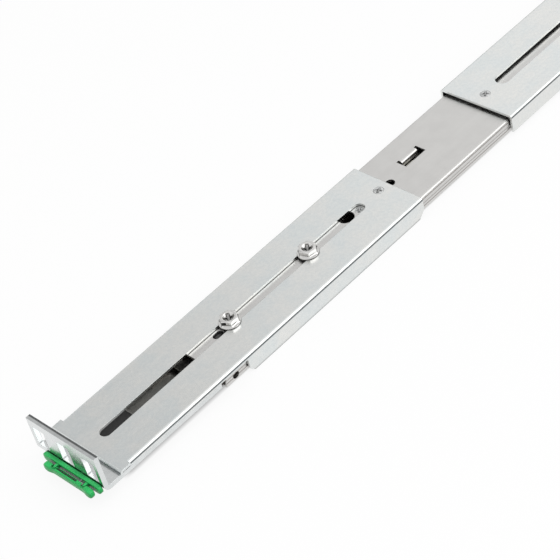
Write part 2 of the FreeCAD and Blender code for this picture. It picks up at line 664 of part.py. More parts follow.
def slide_middle():
    """Drawn middle member: a thin web between two beads grooved for the balls."""
    inner = BEAD_OUT - BEAD_WIDTH
    web = MIDDLE_TOP - MIDDLE_WEB
    outline = [(-BEAD_OUT, MIDDLE_TOP), (BEAD_OUT, MIDDLE_TOP), (BEAD_OUT, MIDDLE_FOOT),
               (inner, MIDDLE_FOOT), (inner, web), (-inner, web), (-inner, MIDDLE_FOOT),
               (-BEAD_OUT, MIDDLE_FOOT)]
    radii = [BEAD_ROUND] * 4 + [BEAD_FILLET] * 2 + [BEAD_ROUND] * 2
    face = rounded_face(outline, radii, lambda y, z: V(MIDDLE_START, y, z))
    body = face.extrude(V(MIDDLE_LENGTH, 0, 0))
    for hand in (-1, 1):
        for y, z in ((OUTER_ROW_Y, OUTER_ROW_Z), (INNER_ROW_Y, INNER_ROW_Z)):
            body = body.cut(ball_track(MIDDLE_START, MIDDLE_LENGTH, hand * y, z))
    for x in middle_holes():
        body = body.cut(slot(x, x + MIDDLE_HOLE_LENGTH, MIDDLE_HOLE_WIDTH, web - CUT, MIDDLE_TOP + CUT))
    return body.removeSplitter()


def chassis_member():
    """Inner member that is screwed or keyed to the server's side."""
    half = CHASSIS_SHEET / 2
    side = CHASSIS_HALF - half
    path = mirrored([(side, CHASSIS_FOOT + half), (side, CHASSIS_FOOT + CHASSIS_HEIGHT)])
    face = bent_strip(path, CHASSIS_SHEET, BRACKET_BEND, lambda y, z: V(CHASSIS_START, y, z))
    body = face.extrude(V(CHASSIS_LENGTH, 0, 0))
    low = CHASSIS_FOOT - CUT
    high = CHASSIS_FOOT + CHASSIS_SHEET + CUT
    for x in keyhole_rows():
        body = body.cut(post(x, 0, KEYHOLE_RADIUS, low, high))
        body = body.cut(slot(x, x + KEYHOLE_RUN, 2 * KEYHOLE_NECK, low, high))
    for x in chassis_screw_rows():
        body = body.cut(post(x, 0, CHASSIS_SCREW_RADIUS, low, high))
    body = body.cut(post(LOCK_X, 0, LOCK_PIVOT_RADIUS, low, high))
    knob = LOCK_KNOB_RADIUS + LOCK_KNOB_CLEAR
    body = body.cut(slot_across(LOCK_X + LOCK_KNOB_AFTER, knob, LOCK_SWAY, low, high))
    for hand in (-1, 1):
        body = body.cut(ball_track(CHASSIS_START, CHASSIS_LENGTH, hand * INNER_ROW_Y, INNER_ROW_Z))
    nose = box(CHASSIS_START - CUT, CHASSIS_START + CHASSIS_NOSE, -CHASSIS_HALF - CUT, CHASSIS_HALF + CUT,
               CHASSIS_FOOT + CHASSIS_SHEET, CHASSIS_FOOT + CHASSIS_HEIGHT + CUT)
    return body.cut(nose).removeSplitter()


def lock_lever():
    """Leaf that frees the chassis member when the rail is drawn out."""
    right = [(-LOCK_TAIL, LOCK_TAIL_CHAMFER - LOCK_HALF), (LOCK_TAIL_CHAMFER - LOCK_TAIL, -LOCK_HALF),
             (LOCK_LENGTH - LOCK_TIP_LENGTH, -LOCK_HALF), (LOCK_LENGTH, -LOCK_TIP_HALF)]
    left = [(x, -y) for x, y in reversed(right)]
    outline = [(LOCK_X + x, y) for x, y in right + left]
    body = level_plate(outline, [0] * len(outline), LOCK_UNDER, LOCK_TOP)
    body = body.fuse(post(LOCK_X + LOCK_KNOB_AFTER, 0, LOCK_KNOB_RADIUS, CHASSIS_FOOT + LOCK_CLEAR, LOCK_TOP))
    hole = post(LOCK_X, 0, LOCK_PIVOT_RADIUS + SEAT_GAP, LOCK_UNDER - CUT, LOCK_TOP + CUT)
    return body.cut(hole).removeSplitter()


def lock_pivot():
    """Shouldered rivet that the leaf turns on."""
    seat = LOCK_TOP + SEAT_GAP
    head = post(LOCK_X, 0, LOCK_PIVOT_RADIUS + LOCK_PIVOT_HEAD, seat, seat + LOCK_HEAD_HEIGHT)
    return post(LOCK_X, 0, LOCK_PIVOT_RADIUS, CHASSIS_FOOT, seat).fuse(head).removeSplitter()


def ball_cage(start, length, row_y, row_z, bridge_top):
    """Two strips with a window for each ball, joined by a bridge at each end."""
    half = CAGE_SHEET / 2
    path = mirrored([(row_y, bridge_top - half), (row_y, row_z - BALL_ROOM - CAGE_BORDER)])
    face = bent_strip(path, CAGE_SHEET, CAGE_BEND, lambda y, z: V(start, y, z))
    body = face.extrude(V(length, 0, 0))
    inside = row_y - half - BRIDGE_SIDE
    body = body.cut(box(start + BRIDGE_LENGTH, start + length - BRIDGE_LENGTH, -inside, inside,
                        bridge_top - CAGE_SHEET - CUT, bridge_top + CUT))
    for x in ball_places(start, length):
        body = body.cut(box(x - BALL_ROOM, x + BALL_ROOM, -row_y - CUT, row_y + CUT,
                            row_z - BALL_ROOM, row_z + BALL_ROOM))
    return body.removeSplitter()


def balls(start, length, row_y, row_z):
    """Both rows of balls of one cage."""
    places = ball_places(start, length)
    return [ball(V(x, hand * row_y, row_z)) for x in places for hand in (-1, 1)]


def ball(centre):
    """One ball, drawn with flat facets because there are many."""
    rings = []
    for band in range(BALL_BANDS + 1):
        tilt = pi * band / BALL_BANDS
        ring = [V(sin(tilt) * cos(turn), sin(tilt) * sin(turn), cos(tilt))
                for turn in (2 * pi * side / BALL_SIDES for side in range(BALL_SIDES))]
        rings.append([centre + point * BALL_RADIUS for point in ring])
    faces = []
    for upper, lower in zip(rings, rings[1:]):
        for i in range(BALL_SIDES):
            corners = [upper[i - 1], upper[i], lower[i], lower[i - 1]]
            if upper is rings[0]:
                corners = corners[1:]
            if lower is rings[-1]:
                corners = corners[:3]
            faces.append(Part.Face(Part.makePolygon(corners + corners[:1])))
    return Part.Solid(Part.Shell(faces))


def rear_bumper():
    """Plastic block across the slide's rear end that the members close on."""
    return chamfered_plate(BUMPER_START, BUMPER_START + BUMPER_LENGTH, TRACK_FACE - FACE_GAP,
                           BUMPER_CHAMFER, SLIDE_FOOT + SLIDE_SHEET + SEAT_GAP, SLIDE_UNDER)


# ================================================================ rear bracket
def rear_bracket():
    """Folded channel over the slide's rear, ending in the rear flange."""
    half = REAR_SHEET / 2
    side = REAR_HALF - half
    walls = REAR_LENGTH - REAR_WALL_SHORT
    path = mirrored([(side, REAR_TOP - half), (side, REAR_TOP - REAR_DEPTH)])
    face = bent_strip(path, REAR_SHEET, BRACKET_BEND, lambda y, z: V(REAR_START, y, z))
    body = face.extrude(V(walls, 0, 0))
    fold = [(REAR_START + walls, REAR_TOP - half), (REAR_END - half, REAR_TOP - half),
            (REAR_END - half, FLANGE_TOP)]
    face = bent_strip(fold, REAR_SHEET, ANGLE_BEND, lambda x, z: V(x, -BRACKET_WIDTH / 2, z))
    body = body.fuse(face.extrude(V(0, BRACKET_WIDTH, 0)))
    for y in hole_rows():
        body = body.cut(window(REAR_END - REAR_SHEET - CUT, REAR_END + CUT, y, REAR_WINDOW_LOW,
                               WINDOW_HEIGHT / 2))
    slot_start = REAR_START + REAR_SLOT_AFTER
    low = REAR_UNDER - CUT
    high = REAR_TOP + CUT
    body = body.cut(slot(slot_start, slot_start + REAR_SLOT_LENGTH, REAR_SLOT_WIDTH, low, high))
    return body.cut(post(REAR_GUIDE_X, 0, GUIDE_RADIUS, low, high)).removeSplitter()


def rear_guide_button():
    """Longer button that takes up the height between bracket and slide."""
    return post(REAR_GUIDE_X, 0, GUIDE_RADIUS, SLIDE_TOP + SEAT_GAP, REAR_TOP)


# ================================================================ clamp hardware
def hex_screw(x, seat):
    """Hexagon screw with a washer collar, down to the nut bar's foot."""
    corner_radius = HEX_ACROSS / 2 / cos(pi / 6)
    ring = [V(x + corner_radius * cos(i * pi / 3), corner_radius * sin(i * pi / 3), seat) for i in range(6)]
    head = Part.Face(Part.makePolygon(ring + ring[:1])).extrude(V(0, 0, HEX_HEIGHT))
    collar = Part.makeCone(COLLAR_RADIUS, COLLAR_RADIUS - COLLAR_DRAFT, COLLAR_HEIGHT, V(x, 0, seat))
    shank = post(x, 0, SHANK_RADIUS, SLIDE_UNDER - NUT_BAR_THICKNESS, seat + COLLAR_HEIGHT)
    return head.fuse(collar).fuse(shank).removeSplitter()


def tapped_strip(rows, ends, width, z0, z1):
    """Flat bar with a hole at each screw."""
    body = chamfered_plate(rows[0] - ends, rows[-1] + ends, width / 2, STRIP_CHAMFER, z0, z1)
    for x in rows:
        body = body.cut(post(x, 0, SHANK_RADIUS + SEAT_GAP, z0 - CUT, z1 + CUT))
    return body


def nut_bar(rows):
    """Tapped bar inside the slide that the clamp screws pull up."""
    return tapped_strip(rows, NUT_BAR_END, NUT_BAR_WIDTH, SLIDE_UNDER - NUT_BAR_THICKNESS, SLIDE_UNDER)


def rear_spacer():
    """Strip that fills the height between slide and rear bracket."""
    return tapped_strip(rear_screw_rows(), SPACER_END, SPACER_WIDTH, SLIDE_TOP, REAR_UNDER)


# ================================================================ nodes
def main():
    outer_row = (OUTER_CAGE_START, OUTER_CAGE_LENGTH, OUTER_ROW_Y, OUTER_ROW_Z)
    inner_row = (INNER_CAGE_START, INNER_CAGE_LENGTH, INNER_ROW_Y, INNER_ROW_Z)
    outer_bridge = MIDDLE_TOP + FACE_GAP + CAGE_SHEET
    inner_bridge = MIDDLE_TOP - MIDDLE_WEB - FACE_GAP
    nodes = {
        "front_bracket": front_bracket(),
        "front_guide_button": front_guide_button(),
        "flange_angle": flange_angle(),
        "catch_base": catch_base(),
        "catch_lever": catch_lever(),
        "catch_pin": catch_pin(),
        "catch_spring": catch_spring(),
        "slide_outer_member": slide_outer(),
        "slide_rivet": stop_rivet(),
        "slide_rear_bumper": rear_bumper(),
        "outer_ball_cage": ball_cage(*outer_row, outer_bridge),
        "outer_balls": balls(*outer_row),
        "slide_middle_member": slide_middle(),
        "inner_ball_cage": ball_cage(*inner_row, inner_bridge),
        "inner_balls": balls(*inner_row),
        "chassis_member": chassis_member(),
        "chassis_lock_lever": lock_lever(),
        "chassis_lock_pivot": lock_pivot(),
        "front_clamp_screws": [hex_screw(x, WEB_TOP) for x in front_screw_rows()],
        "front_nut_bar": nut_bar(front_screw_rows()),
        "rear_bracket": rear_bracket(),
        "rear_guide_button": rear_guide_button(),
        "rear_spacer": rear_spacer(),
        "rear_clamp_screws": [hex_screw(x, REAR_TOP) for x in rear_screw_rows()],
        "rear_nut_bar": nut_bar(rear_screw_rows()),
    }
    os.makedirs("parts", exist_ok=True)
    for name, shape in nodes.items():
        save(name, shape)


main()
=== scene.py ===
"""Dresses the sliding server rail: the finishes of its sheets, slide members, screws and catch, and the
small pieces that the frame holds only as plain solids. Sizes are in millimetres, the frame is in metres."""

import math

import bmesh
import bpy
import numpy as np
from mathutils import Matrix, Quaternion, Vector


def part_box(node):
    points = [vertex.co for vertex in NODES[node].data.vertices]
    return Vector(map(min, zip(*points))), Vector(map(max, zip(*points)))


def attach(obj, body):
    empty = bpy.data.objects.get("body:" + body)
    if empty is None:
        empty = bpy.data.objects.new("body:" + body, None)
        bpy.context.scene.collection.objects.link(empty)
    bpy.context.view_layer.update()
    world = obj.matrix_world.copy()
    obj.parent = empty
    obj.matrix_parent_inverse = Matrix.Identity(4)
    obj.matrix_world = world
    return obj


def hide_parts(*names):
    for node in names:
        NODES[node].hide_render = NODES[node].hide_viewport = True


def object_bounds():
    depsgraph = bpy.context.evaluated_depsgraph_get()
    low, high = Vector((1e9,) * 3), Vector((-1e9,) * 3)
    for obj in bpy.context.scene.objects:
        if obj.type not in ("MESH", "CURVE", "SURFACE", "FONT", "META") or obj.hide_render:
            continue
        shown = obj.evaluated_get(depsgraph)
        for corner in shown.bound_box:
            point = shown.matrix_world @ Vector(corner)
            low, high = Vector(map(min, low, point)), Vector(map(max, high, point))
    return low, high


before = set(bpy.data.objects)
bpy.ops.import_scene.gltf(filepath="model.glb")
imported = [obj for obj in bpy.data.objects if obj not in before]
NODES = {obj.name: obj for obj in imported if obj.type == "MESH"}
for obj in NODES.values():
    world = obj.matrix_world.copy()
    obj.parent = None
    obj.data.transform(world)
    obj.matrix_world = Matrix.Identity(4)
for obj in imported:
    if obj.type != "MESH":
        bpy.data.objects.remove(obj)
CAD_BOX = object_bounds()
MM = 0.001
FULL_TURN = 2 * math.pi

# ---------------------------------------------------------------- camera and lamps
CAMERA_AIM = (130.9, -1.2, -6.0)    # point on the front bracket's web
CAMERA_DISTANCE = 856.7
CAMERA_HEADING = 53.66              # degrees from +X towards +Y, looking away from the lens
CAMERA_DIP = 41.49                  # degrees below level
CAMERA_ROLL = -15.51
CAMERA_LENS = 122.1
CAMERA_SENSOR = 36.0
CAMERA_NEAR = 10
LAMPS = {                           # heading and height in degrees, distance, size, power
    "key_box": (-56, 38, 1500, 1000, 3.9),
    "overhead_box": (-115, 72, 1500, 2000, 9.5),
}

# ---------------------------------------------------------------- floor and walls
STUDIO_SIZE = 4000.0
WHITE = "#FFFFFF"
PAPER = "#F8F8F8"
FLOOR_GLOW = 0.88                   # share of the floor that glows; the rest is matt paper
PAINTED_SHADOW_STRIP = ((12.0, -19.5), (622.0, 21.0))    # corners of the strip under the rail, which has no glow, as a painted shadow
PAINTED_SHADOW_STRIP_EDGE = 5.0
PAINTED_SHADOW_STRIP_SHEEN = 0.35                # share of the glow that shiny surfaces still see in the painted shadow
ROOM_LIGHT = 0.65                   # strength of the walls as a light
BAND_GREY = 0.1                     # strength of the band where the walls meet the floor
BAND_RISE = (0.05, 0.3)             # upward part of a ray from which, and to which, the band fades
CURTAIN = ((78.0, 46.0), -0.36, 10, 24)     # heading and height, change of strength, inner and outer degrees
WINDOW = ((-58.0, 41.0), 1.5, 12, 26)

# ---------------------------------------------------------------- patterns
PATTERN_START = 0.35                # most of a noise pattern lies between these two
PATTERN_END = 0.65
BEVEL_SAMPLES = 6
CORNER_SAMPLES = 8
CORNER_START = 0.35                 # openness at which the painted shade is full, as a share of the one at which it ends
DOWNWARD = (-0.9, -0.6)             # upward part of the normal of faces that point down
# colours of the painted shade, with grease, in corners, gaps and contact lines
SHADE_AND_GREASE = "#2A2B2B"
DARK_SHADE_AND_GREASE = "#151616"
DEEP_GAP_SHADE = "#0A0A0A"
# painted dark reflection on the zinc sheets, between each bend's highlight and its wall
BEND_REFLECTION_COLOUR = "#6F7476"
BEND_REFLECTION_STARTS = (0.03, 0.1)            # upward part of the normal where the painted dark reflection fades in
BEND_REFLECTION_ENDS = (0.36, 0.5)              # and where it fades out
# painted shade: fine dark level lines on the slide's walls, standing in for the shade lines of its stepped
# profile
PROFILE_SHADE_COLOUR = "#6E645C"
PROFILE_SHADE_SPACING = 1.1
PROFILE_SHADE_WIDTH = 0.14
PROFILE_SHADE_STRENGTH = 0.8
PROFILE_SHADE_WALL = (0.5, 0.8)              # sideways part of the normal from which a face counts as a wall

# ---------------------------------------------------------------- finishes
ZINC_CLOUD = 14.0
ZINC_CLOUD_RANGE = (0.38, 0.62)
ZINC_CLOUD_COLOURS = ("#DCE1E1", "#E5E5E2")
ZINC_SPECK = (1.6, 2.0)             # size and detail
ZINC_SPECK_COLOURS = ("#D9DDDE", "#E7E8E6")
ZINC_SPECK_SHARE = 0.4
ZINC_GRAIN = (45.0, 2.2)            # length and spacing of its lines
ZINC_ROUGH = (0.23, 0.27)
ZINC_RELIEF = (0.003, 0.22)         # depth of the pattern and radius of broken edges
ZINC_SHEETS = {                     # reach of the painted shade and grease in corners, openness at which it ends, and the nodes
    "zinc_plated_sheet": (2.5, 0.72, "front_bracket", "rear_bracket", "rear_spacer"),
    # the nut bars always lie under the slide's web: an openness above 1 keeps them painted darker all over, as
    # shade
    "shaded_greased_nut_bar": (8.0, 1.6, "front_nut_bar", "rear_nut_bar"),
}
FLANGE_CLOUD = 5.0
FLANGE_COLOURS = ("#D9DCDC", "#E2E4E4")
FLANGE_CORNERS = (2.0, SHADE_AND_GREASE, 0.72)        # reach, colour and openness at which the painted shade ends
FLANGE_ROUGH = (0.22, 0.3)
FLANGE_RELIEF = (0.01, 0.25)
# painted shadow: the flange's top edge is darker behind its outer face, where the web's front edge shades it
EDGE_SHADOW_COLOUR = "#6C6E6E"
EDGE_SHADOW_BELOW_TOP = (0.25, 0.1)        # depth under the flange's top where the painted edge shadow starts and is full
EDGE_SHADOW_FROM = 1.3                     # behind the flange's outer face
EDGE_SHADOW_FADE = 0.3
EDGE_SHADOW_FAINT = 0.25                   # strength of the painted edge shadow nearer the outer face
STRIP_GRAIN = (70.0, 1.3)
STRIP_CLOUD = 8.0
# openness at which the painted shade in the slide's corners ends
STRIP_ROOM = 0.6
STRIP_ROUGH = (0.28, 0.36)
STRIP_RELIEF = (0.004, 0.22)
SLIDE_STRIPS = {                    # both colours, reach of the painted shade and grease in corners, and the nodes
    "rolled_slide_strip": ("#D0CFCD", "#D4D3D1", 1.6, "slide_outer_member"),
    # the inner members' darker grey is painted shade for the inside of the outer member where they run, together
    # with a film of oil
    "shaded_oiled_slide_strip": ("#9A9894", "#A4A29E", 3.2, "slide_middle_member", "chassis_member"),
}
GREEN_CLOUD = 5.0
GREEN_TEXTURE = (0.5, 2.0)
GREEN_COLOURS = ("#22BE5F", "#2BC868")
# reach, colour of the painted shade in the catch's corners and gaps, and openness at which it ends
GREEN_CORNERS = (4.0, "#0A7A3E", 0.85)
GREEN_ROUGH = (0.3, 0.42)
GREEN_RELIEF = (0.02, 0.35)
GREEN_IOR = 1.48
PLAIN_FINISHES = {                  # clouds: size and detail. lines: length and spacing. corners: reach, colour of the painted shade, and openness at which it ends
    # Nickel-plated screw steel: bright, with faint turning marks, and painted shade in its recesses and around
    # its collar.
    "polished_nickel": {"clouds": (1.2,), "colours": ("#D6D5D3", "#E2E1DF"), "corners": (3.2, DEEP_GAP_SHADE, 0.98),
                        "rough": (0.05, 0.09), "relief": (0.004, 0.1)},
    # Zinc-plated rivets and pins, burnished by the setting tool, with painted shade in the punched cross and
    # where other parts crowd them.
    "bright_rivet_steel": {"clouds": (1.5,), "colours": ("#C9CBCB", "#DCDDDC"), "corners": (2.0, DEEP_GAP_SHADE, 0.99),
                           "rough": (0.18, 0.3), "relief": (0.015, 0.15)},
    # Drawn spring wire: darker steel with a dull shine.
    "drawn_spring_wire": {"clouds": (0.8,), "colours": ("#8E8F90", "#A9AAAB"), "rough": (0.25, 0.35)},
    # Hardened chromium steel, ground and lapped to a mirror, under a film of grease.
    "bearing_ball_steel": {"clouds": (1.6,), "colours": ("#C4C5C4", "#D2D3D2"), "rough": (0.06, 0.14)},
    # Thin zinc-plated strip, punched for the balls.
    "cage_strip": {"lines": (30.0, 0.9), "colours": ("#B9B8B0", "#C9C7BE"),
                   "rough": (0.3, 0.42), "relief": (0.01, 0.12)},
    # Blackened spring-steel leaf: oxide finish with a slight oil shine.
    "black_spring_leaf": {"clouds": (2.5,), "colours": ("#2B2C2E", "#3A3B3D"), "metallic": 0.8,
                          "rough": (0.36, 0.5), "relief": (0.02, 0.2)},
    # Glass-filled nylon: black, with a dry surface.
    "black_moulded_nylon": {"clouds": (0.6, 2.0), "colours": ("#17181A", "#222326"), "metallic": 0.0,
                            "rough": (0.45, 0.6), "relief": (0.02, 0.3), "ior": 1.53},
}

# ---------------------------------------------------------------- meshes
WELD = 0.0005
SHARP_ANGLE = 32
CROSS_SOFTNESS = 0.45               # of a punched cross's walls, as a share of the arm's half width
CROSS_RISE = 0.75                   # share of its depth that is gone at the end of an arm

# ---------------------------------------------------------------- screws
SCREW_SIDES = 144
DISH_RINGS = 44
HEX_ACROSS = 8.0
HEX_CHAMFER = math.radians(28)
HEX_TOP_SHARE = 0.47                # radius of the flat top, as a share of the width across flats
NECK_FILLET = 0.15                  # where the hexagon meets the collar
COLLAR_HEIGHT = 1.1
COLLAR_EDGE = 0.55                  # height of the collar's rim
RIM_ROUND = 0.2
RIM_RINGS = 5
RIM_UNDER = 0.1                     # chamfer under the rim
DISH_SHARE = 0.8                    # radius of the dish, as a share of the flat top's
DISH_FLOOR_SHARE = 0.55             # radius of its flat floor, as a share of the dish's
DISH_DEPTH = 0.9
CROSS_REACH = 2.7
CROSS_HALF = 0.75
CROSS_DEPTH = 1.9
SHANK_RADIUS = 2.5
SEAT_GAP = 0.03                     # keeps the collar's underside off the web's face
THREAD_PITCH = 0.8
THREAD_DEPTH = 0.35
THREAD_BELOW_SEAT = 0.4
THREAD_STEP = 0.1
TIP_CHAMFER = 0.5
SCREW_TURNS = {                     # degrees that each screw's hexagon is turned
    "front_clamp_screws": (58, 49),
    "rear_clamp_screws": (51, 66),
}
SCREW_SEATS = {"front_clamp_screws": "front_guide_button", "rear_clamp_screws": "rear_guide_button"}

# ---------------------------------------------------------------- buttons, spring and balls
BUTTONS = {                         # body, and degrees that the cross is turned
    "front_guide_button": ("front_bracket", 20),
    "rear_guide_button": ("rear_bracket", 35),
    "slide_rivet": ("slide", 35),
}
BUTTON_SIDES = 72
BUTTON_RINGS = 28
BUTTON_RISE = 0.3
BUTTON_TOP_SHARE = 0.94             # radius of the dome, as a share of the button's
BUTTON_EDGE = 0.12
BUTTON_MARK_REACH = 0.8             # of the punched cross, as a share of the button's radius
BUTTON_MARK_HALF = 0.5
BUTTON_MARK_DEPTH = 1.1
SPRING_TURNS = 5
SPRING_STEPS = 40                   # in each turn
SPRING_WIRE = 0.4
WIRE_SIDES = 12
LEG_STEPS = 12
NEARLY_ALONG = (0.0, 1.0, 0.001)    # the pin's direction, tilted so that no part of the wire is parallel to it
BALLS_PER_ROW = 5
BALL_SIDES = 24
BALL_RINGS = 14

# ---------------------------------------------------------------- catch
BAR_GRID = (200, 96)                # rows along a bar, points round it
SMALL_BAR_GRID = (40, 32)
END_POWER = 2.5                     # of the curve in which a bar's end closes
END_NARROWING = 0.6                 # how much a bar's end narrows, as a share of how much it thins
LEVER_SECTION = (3.6, 2.4)          # exponent of the section, length of the rounded ends
BASE_SECTION = (5.0, 2.6)
EAR_SECTION = (3.0, 0.25)
STUD_SECTION = (9.0, 0.1)
FLANGE_FACE = 0.0
BASE_THICKNESS = 2.4
EAR_ROWS = (5.4, -13.6)
EAR_HALF_WIDTH = 0.8
EAR_HALF_HEIGHT = 1.2
EAR_ROOT = 0.6                      # length inside the base
STUD_ROWS = (-7.94, 7.94)
STUD_DROP = 1.1
STUD_HALF = 0.8
STUD_ROOT = 0.8
TRENCH = (-9.2, 4.0)
TRENCH_RUNOUT = 0.8
TRENCH_SHIFT = 0.35                 # ahead of the pin's axis
TRENCH_HALF = (0.15, 0.4)
TRENCH_DEPTH = 1.25
WAIST = (9.0, 13.0)
WAIST_DEPTH = 0.6
WAIST_TOP_SHARE = 0.5
POCKET_HALF_WIDTH = (1.0, 1.25)
POCKET_HALF_HEIGHT = (1.4, 1.6)
POCKET_RADIUS = 1.45


# ================================================================ nodes and colours
def linear(code):
    """Linear colour of an sRGB hex code."""
    parts = [int(code[i:i + 2], 16) / 255 for i in (1, 3, 5)]
    return [p / 12.92 if p <= 0.04045 else ((p + 0.055) / 1.055) ** 2.4 for p in parts] + [1.0]


def add(tree, kind, inputs=None, **settings):
    """Adds one shader node. Settings are its properties; inputs are its sockets, each given a plain
    value or another node's socket to link from."""
    made = tree.nodes.new(kind)
    for name, value in settings.items():
        setattr(made, name, value)
    for name, value in (inputs or {}).items():
        if isinstance(value, bpy.types.NodeSocket):
            tree.links.new(value, made.inputs[name])
        else:
            made.inputs[name].default_value = value
    return made


def per(size):
    """Texture scale whose pattern repeats about every size millimetres."""
    return 1 / (size * MM)


def new_material(name):
    """Empty material and its node tree."""
    material = bpy.data.materials.new(name)
    material.use_nodes = True
    material.node_tree.nodes.clear()
    return material, material.node_tree


def close_material(material, sockets):
    """Ends a material in one shader with the given sockets."""
    tree = material.node_tree
    shader = add(tree, "ShaderNodeBsdfPrincipled", sockets)
    add(tree, "ShaderNodeOutputMaterial", {"Surface": shader.outputs["BSDF"]})
    return material


def part_of_normal(tree, axis):
    """One axis of the surface's outward normal."""
    normal = add(tree, "ShaderNodeNewGeometry").outputs["Normal"]
    return add(tree, "ShaderNodeSeparateXYZ", {0: normal}).outputs[axis]


def part_of_place(tree, axis):
    """One axis of the place on the object, in metres."""
    place = add(tree, "ShaderNodeTexCoord").outputs["Object"]
    return add(tree, "ShaderNodeSeparateXYZ", {0: place}).outputs[axis]


def clouds(tree, size, detail=3.0):
    """Soft blotches about size millimetres across."""
    place = add(tree, "ShaderNodeTexCoord").outputs["Object"]
    return add(tree, "ShaderNodeTexNoise",
               {"Vector": place, "Scale": per(size), "Detail": detail}).outputs["Fac"]


def lines_along(tree, length, spacing):
    """Fine lines that run along the rail, as rollers leave on strip."""
    place = add(tree, "ShaderNodeTexCoord").outputs["Object"]
    squeezed = add(tree, "ShaderNodeMapping",
                   {"Vector": place, "Scale": (per(length), per(spacing), per(spacing))})
    return add(tree, "ShaderNodeTexNoise",
               {"Vector": squeezed.outputs["Vector"], "Scale": 1.0, "Detail": 2.0}).outputs["Fac"]


def spread(tree, value, low, high, start=PATTERN_START, end=PATTERN_END):
    """A value's range from start to end, stretched from low to high."""
    return add(tree, "ShaderNodeMapRange",
               {"Value": value, "From Min": start, "From Max": end,
                "To Min": low, "To Max": high}).outputs["Result"]


def between(tree, factor, first, second):
    """Colour from first to second as the factor goes from 0 to 1. Each is a hex code or a socket."""
    first, second = (linear(end) if isinstance(end, str) else end for end in (first, second))
    return add(tree, "ShaderNodeMixRGB",
               {"Fac": factor, "Color1": first, "Color2": second}).outputs["Color"]


def relief(tree, height, depth, edge):
    """Normal of a surface with broken edges and a pattern depth millimetres deep."""
    rounded = add(tree, "ShaderNodeBevel", {"Radius": edge * MM}, samples=BEVEL_SAMPLES).outputs["Normal"]
    return add(tree, "ShaderNodeBump",
               {"Height": height, "Distance": depth * MM, "Strength": 1.0, "Normal": rounded}).outputs["Normal"]


def shade_and_grease_in_corners(tree, colour, reach, corner, unshaded_openness):
    """Colour that falls to the corner colour where other surfaces crowd within reach millimetres: painted shade
    in corners, gaps and contact lines, together with old grease and dust. The last argument is the open share of
    the sky at which the painted shade ends. Downward faces aren't darkened, because the table that they lie on
    isn't part of the rail."""
    room = add(tree, "ShaderNodeAmbientOcclusion", {"Distance": reach * MM}, samples=CORNER_SAMPLES)
    downward = spread(tree, part_of_normal(tree, "Z"), 1.0, 0.0, *DOWNWARD)
    room = add(tree, "ShaderNodeMath", {0: room.outputs["AO"], 1: downward}, operation="MAXIMUM").outputs[0]
    # painted shade: the colour darkens as less of the sky is open
    unshaded = spread(tree, room, 0.0, 1.0, unshaded_openness * CORNER_START, unshaded_openness)
    return between(tree, unshaded, corner, colour)


def painted_bend_reflection(tree, colour):
    """Colour with a thin dark line where each bend runs out into a wall: a painted reflection of the dark band
    where the walls meet the floor.
    """
    slope = part_of_normal(tree, "Z")
    lower = spread(tree, slope, 0.0, 1.0, *BEND_REFLECTION_STARTS)
    upper = spread(tree, slope, 1.0, 0.0, *BEND_REFLECTION_ENDS)
    share = add(tree, "ShaderNodeMath", {0: lower, 1: upper}, operation="MULTIPLY").outputs[0]
    return between(tree, share, colour, BEND_REFLECTION_COLOUR)


def painted_profile_lines(tree, colour):
    """Colour with fine dark level lines along the upright walls: painted shade standing in for the lines of the
    side's stepped profile.
    """
    wall = add(tree, "ShaderNodeMath", {0: part_of_normal(tree, "Y")}, operation="ABSOLUTE").outputs[0]
    step = add(tree, "ShaderNodeMath", {0: part_of_place(tree, "Z"), 1: PROFILE_SHADE_SPACING * MM},
               operation="PINGPONG").outputs[0]
    near = spread(tree, step, 1.0, 0.0, PROFILE_SHADE_WIDTH * MM, 2 * PROFILE_SHADE_WIDTH * MM)
    share = add(tree, "ShaderNodeMath", {0: near, 1: spread(tree, wall, 0.0, PROFILE_SHADE_STRENGTH, *PROFILE_SHADE_WALL)},
                operation="MULTIPLY").outputs[0]
    return between(tree, share, colour, PROFILE_SHADE_COLOUR)


# ================================================================ materials
def plain_finish(name):
    """Material in which one pattern sets colour, roughness and relief, from its row in PLAIN_FINISHES."""
    row = PLAIN_FINISHES[name]
    material, tree = new_material(name)
    pattern = clouds(tree, *row["clouds"]) if "clouds" in row else lines_along(tree, *row["lines"])
    colour = between(tree, spread(tree, pattern, 0.0, 1.0), *row["colours"])
    # painted shade in corners and gaps, from the row's corners
    if "corners" in row:
        colour = shade_and_grease_in_corners(tree, colour, *row["corners"])
    sockets = {"Base Color": colour, "Metallic": row.get("metallic", 1.0),
               "Roughness": spread(tree, pattern, *row["rough"])}
    if "relief" in row:
        sockets["Normal"] = relief(tree, pattern, *row["relief"])
    if "ior" in row:
        sockets["IOR"] = row["ior"]
    return close_material(material, sockets)


